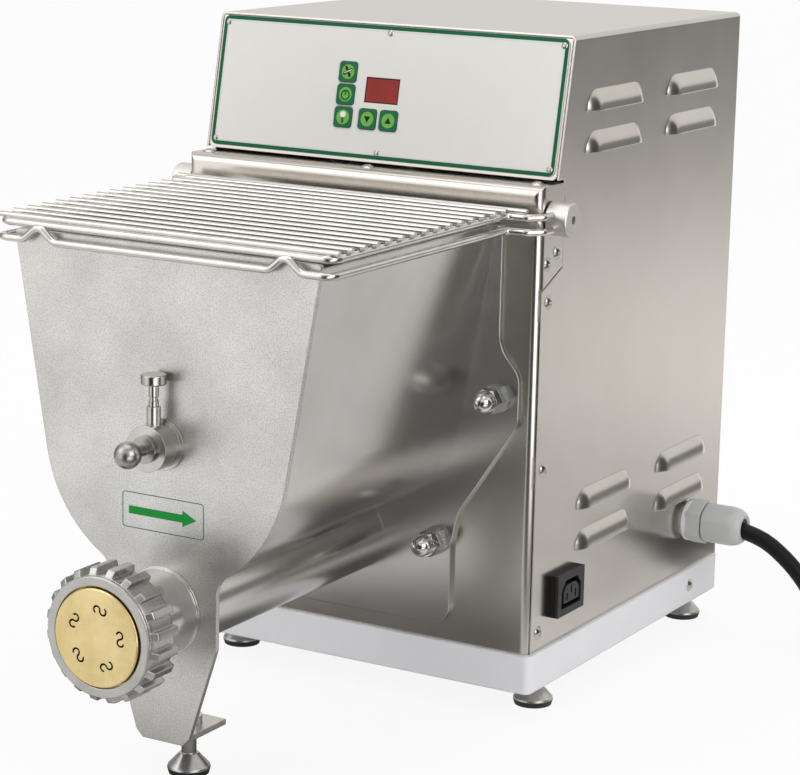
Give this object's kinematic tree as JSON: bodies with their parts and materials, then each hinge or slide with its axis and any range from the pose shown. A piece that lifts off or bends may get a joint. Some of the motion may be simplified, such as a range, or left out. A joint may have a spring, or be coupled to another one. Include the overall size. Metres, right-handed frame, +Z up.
{
  "type": "electric pasta maker",
  "caption": "Tabletop electric pasta maker: dough bowl with kneading paddle and wire lid, extruder barrel with brass die, steel motor case with control panel.",
  "frame": {"origin": "on the resting surface, under the middle of the machine seen from above, cord left out", "axes": "+X to the right seen from the front, +Y from the die towards the rear panel, +Z up"},
  "size_m": [0.4545, 0.6037, 0.381],
  "materials": {
    "satin_steel": "satin",
    "blasted_steel": "fine blasted",
    "bowl_steel": "satin",
    "turned_steel": "fine turned",
    "machined_steel": "machined",
    "gear_steel": "machined, oiled",
    "zinc_steel": "zinc plated",
    "screw_steel": "bright",
    "chrome_trim": "polished",
    "lid_wire": "bright drawn wire",
    "ring_alloy": "satin cast",
    "die_brass": "machined",
    "white_paint": "satin paint",
    "foot_metal": "metal cone on a rubber ring",
    "panel_print": "printed foil",
    "key_print": "printed foil",
    "display_red": "glossy",
    "circuit_board": "solder mask",
    "socket_plastic": "satin",
    "black_plastic": "moulded",
    "gland_plastic": "moulded",
    "cord_rubber": "satin",
    "seal_rubber": "matt",
    "cast_alloy": "cast",
    "winding_steel": "laminated",
    "capacitor_plastic": "moulded"
  },
  "bodies": {
    "root": {"axle_boss": "turned_steel", "base_tray": "white_paint", "bowl_flange": "bowl_steel", "bowl_front_plate": "blasted_steel", "bowl_studs": "zinc_steel", "bowl_trough": "bowl_steel", "cable_gland": "gland_plastic", "case_cover": "satin_steel", "case_screws": "screw_steel", "control_board": "circuit_board", "cord_coil": "cord_rubber", "cord_lead": "cord_rubber", "display_window": "display_red", "dome_nuts": "chrome_trim", "extrusion_barrel": "bowl_steel", "fan_frame": "black_plastic", "fascia": "satin_steel", "front_sheet": "satin_steel", "gearbox_housing": "cast_alloy", "lid_switch": "black_plastic", "mains_plug": "cord_rubber", "motor_cradle": "zinc_steel", "motor_housing": "cast_alloy", "motor_stator": "winding_steel", "mounting_plate": "zinc_steel", "outlet_socket": "socket_plastic", "overlay": "panel_print", "rear_panel": "satin_steel", "run_capacitor": "capacitor_plastic", "seals_and_bushes": "seal_rubber", "shaft_bearings": "machined_steel"},
    "lid": {"lid_grille": "lid_wire", "hinge_knobs": "turned_steel", "lid_hinge_shaft": "machined_steel"},
    "mixer": {"kneading_paddle": "turned_steel", "mixer_shaft": "machined_steel", "mixer_gear": "gear_steel"},
    "auger": {"auger_screw": "turned_steel", "auger_shaft": "machined_steel", "auger_gear": "gear_steel"},
    "layshaft": {"layshaft": "machined_steel", "layshaft_gear": "gear_steel"},
    "rotor": {"motor_rotor": "winding_steel", "motor_pinion": "gear_steel"},
    "fan": {"fan_impeller": "black_plastic"},
    "axle": {"mixer_axle": "turned_steel"},
    "latch": {"latch_plunger": "turned_steel"},
    "die": {"die_plate": "die_brass"},
    "ring": {"ring_nut": "ring_alloy"},
    "foot_front_left": {"foot_front_left": "foot_metal"},
    "foot_front_right": {"foot_front_right": "foot_metal"},
    "foot_leg": {"foot_leg": "foot_metal"},
    "foot_rear_left": {"foot_rear_left": "foot_metal"},
    "foot_rear_right": {"foot_rear_right": "foot_metal"},
    "key_down": {"key_down": "key_print"},
    "key_extrude": {"key_extrude": "key_print"},
    "key_fan": {"key_fan": "key_print"},
    "key_power": {"key_power": "key_print"},
    "key_up": {"key_up": "key_print"}
  },
  "joints": [
    {"name": "lid_hinge", "type": "hinge", "parent": "root", "child": "lid", "pos_m": [0, 0.006, 0.285], "axis": [-1, 0, 0], "range_deg": [0, 80]},
    {"name": "mixer_spin", "type": "hinge", "parent": "root", "child": "mixer", "pos_m": [0, 0, 0.183], "axis": [0, 1, 0], "continuous": true},
    {"name": "auger_spin", "type": "hinge", "parent": "root", "child": "auger", "pos_m": [0, 0, 0.095], "axis": [0, 1, 0], "continuous": true},
    {"name": "layshaft_spin", "type": "hinge", "parent": "root", "child": "layshaft", "pos_m": [0.05209, 0, 0.13929], "axis": [0, 1, 0], "continuous": true},
    {"name": "motor_spin", "type": "hinge", "parent": "root", "child": "rotor", "pos_m": [0.05209, 0, 0.08679], "axis": [0, 1, 0], "continuous": true},
    {"name": "fan_spin", "type": "hinge", "parent": "root", "child": "fan", "pos_m": [0, 0.2345, 0.3], "axis": [0, 1, 0], "continuous": true},
    {"name": "axle_slide", "type": "slide", "parent": "root", "child": "axle", "axis": [0, -1, 0], "range_m": [0, 0.06]},
    {"name": "latch_slide", "type": "slide", "parent": "root", "child": "latch", "axis": [0, 0, 1], "range_m": [0, 0.006], "stiffness_N_per_m": 400, "springref_m": -0.001},
    {"name": "die_slide", "type": "slide", "parent": "root", "child": "die", "axis": [0, -1, 0], "range_m": [0, 0.012]},
    {"name": "ring_turn", "type": "hinge", "parent": "die", "child": "ring", "pos_m": [0, -0.237, 0.095], "axis": [0, -1, 0], "range_deg": [0, 1440]},
    {"name": "press_down", "type": "slide", "parent": "root", "child": "key_down", "axis": [0, 0.9806, -0.1961], "range_m": [0, 0.0004], "stiffness_N_per_m": 2500},
    {"name": "press_extrude", "type": "slide", "parent": "root", "child": "key_extrude", "axis": [0, 0.9806, -0.1961], "range_m": [0, 0.0004], "stiffness_N_per_m": 2500},
    {"name": "press_fan", "type": "slide", "parent": "root", "child": "key_fan", "axis": [0, 0.9806, -0.1961], "range_m": [0, 0.0004], "stiffness_N_per_m": 2500},
    {"name": "press_power", "type": "slide", "parent": "root", "child": "key_power", "axis": [0, 0.9806, -0.1961], "range_m": [0, 0.0004], "stiffness_N_per_m": 2500},
    {"name": "press_up", "type": "slide", "parent": "root", "child": "key_up", "axis": [0, 0.9806, -0.1961], "range_m": [0, 0.0004], "stiffness_N_per_m": 2500},
    {"name": "level_front_left", "type": "slide", "parent": "root", "child": "foot_front_left", "axis": [0, 0, -1], "range_m": [0, 0.008]},
    {"name": "level_front_right", "type": "slide", "parent": "root", "child": "foot_front_right", "axis": [0, 0, -1], "range_m": [0, 0.008]},
    {"name": "level_leg", "type": "slide", "parent": "root", "child": "foot_leg", "axis": [0, 0, -1], "range_m": [0, 0.008]},
    {"name": "level_rear_left", "type": "slide", "parent": "root", "child": "foot_rear_left", "axis": [0, 0, -1], "range_m": [0, 0.008]},
    {"name": "level_rear_right", "type": "slide", "parent": "root", "child": "foot_rear_right", "axis": [0, 0, -1], "range_m": [0, 0.008]}
  ],
  "couplings": [
    {"joint": "auger_spin", "follows": "mixer_spin", "ratio": -1.4444},
    {"joint": "layshaft_spin", "follows": "mixer_spin", "ratio": -3.25},
    {"joint": "motor_spin", "follows": "mixer_spin", "ratio": 13},
    {"joint": "die_slide", "follows": "ring_turn", "m_per_rad": 0.00047746}
  ]
}
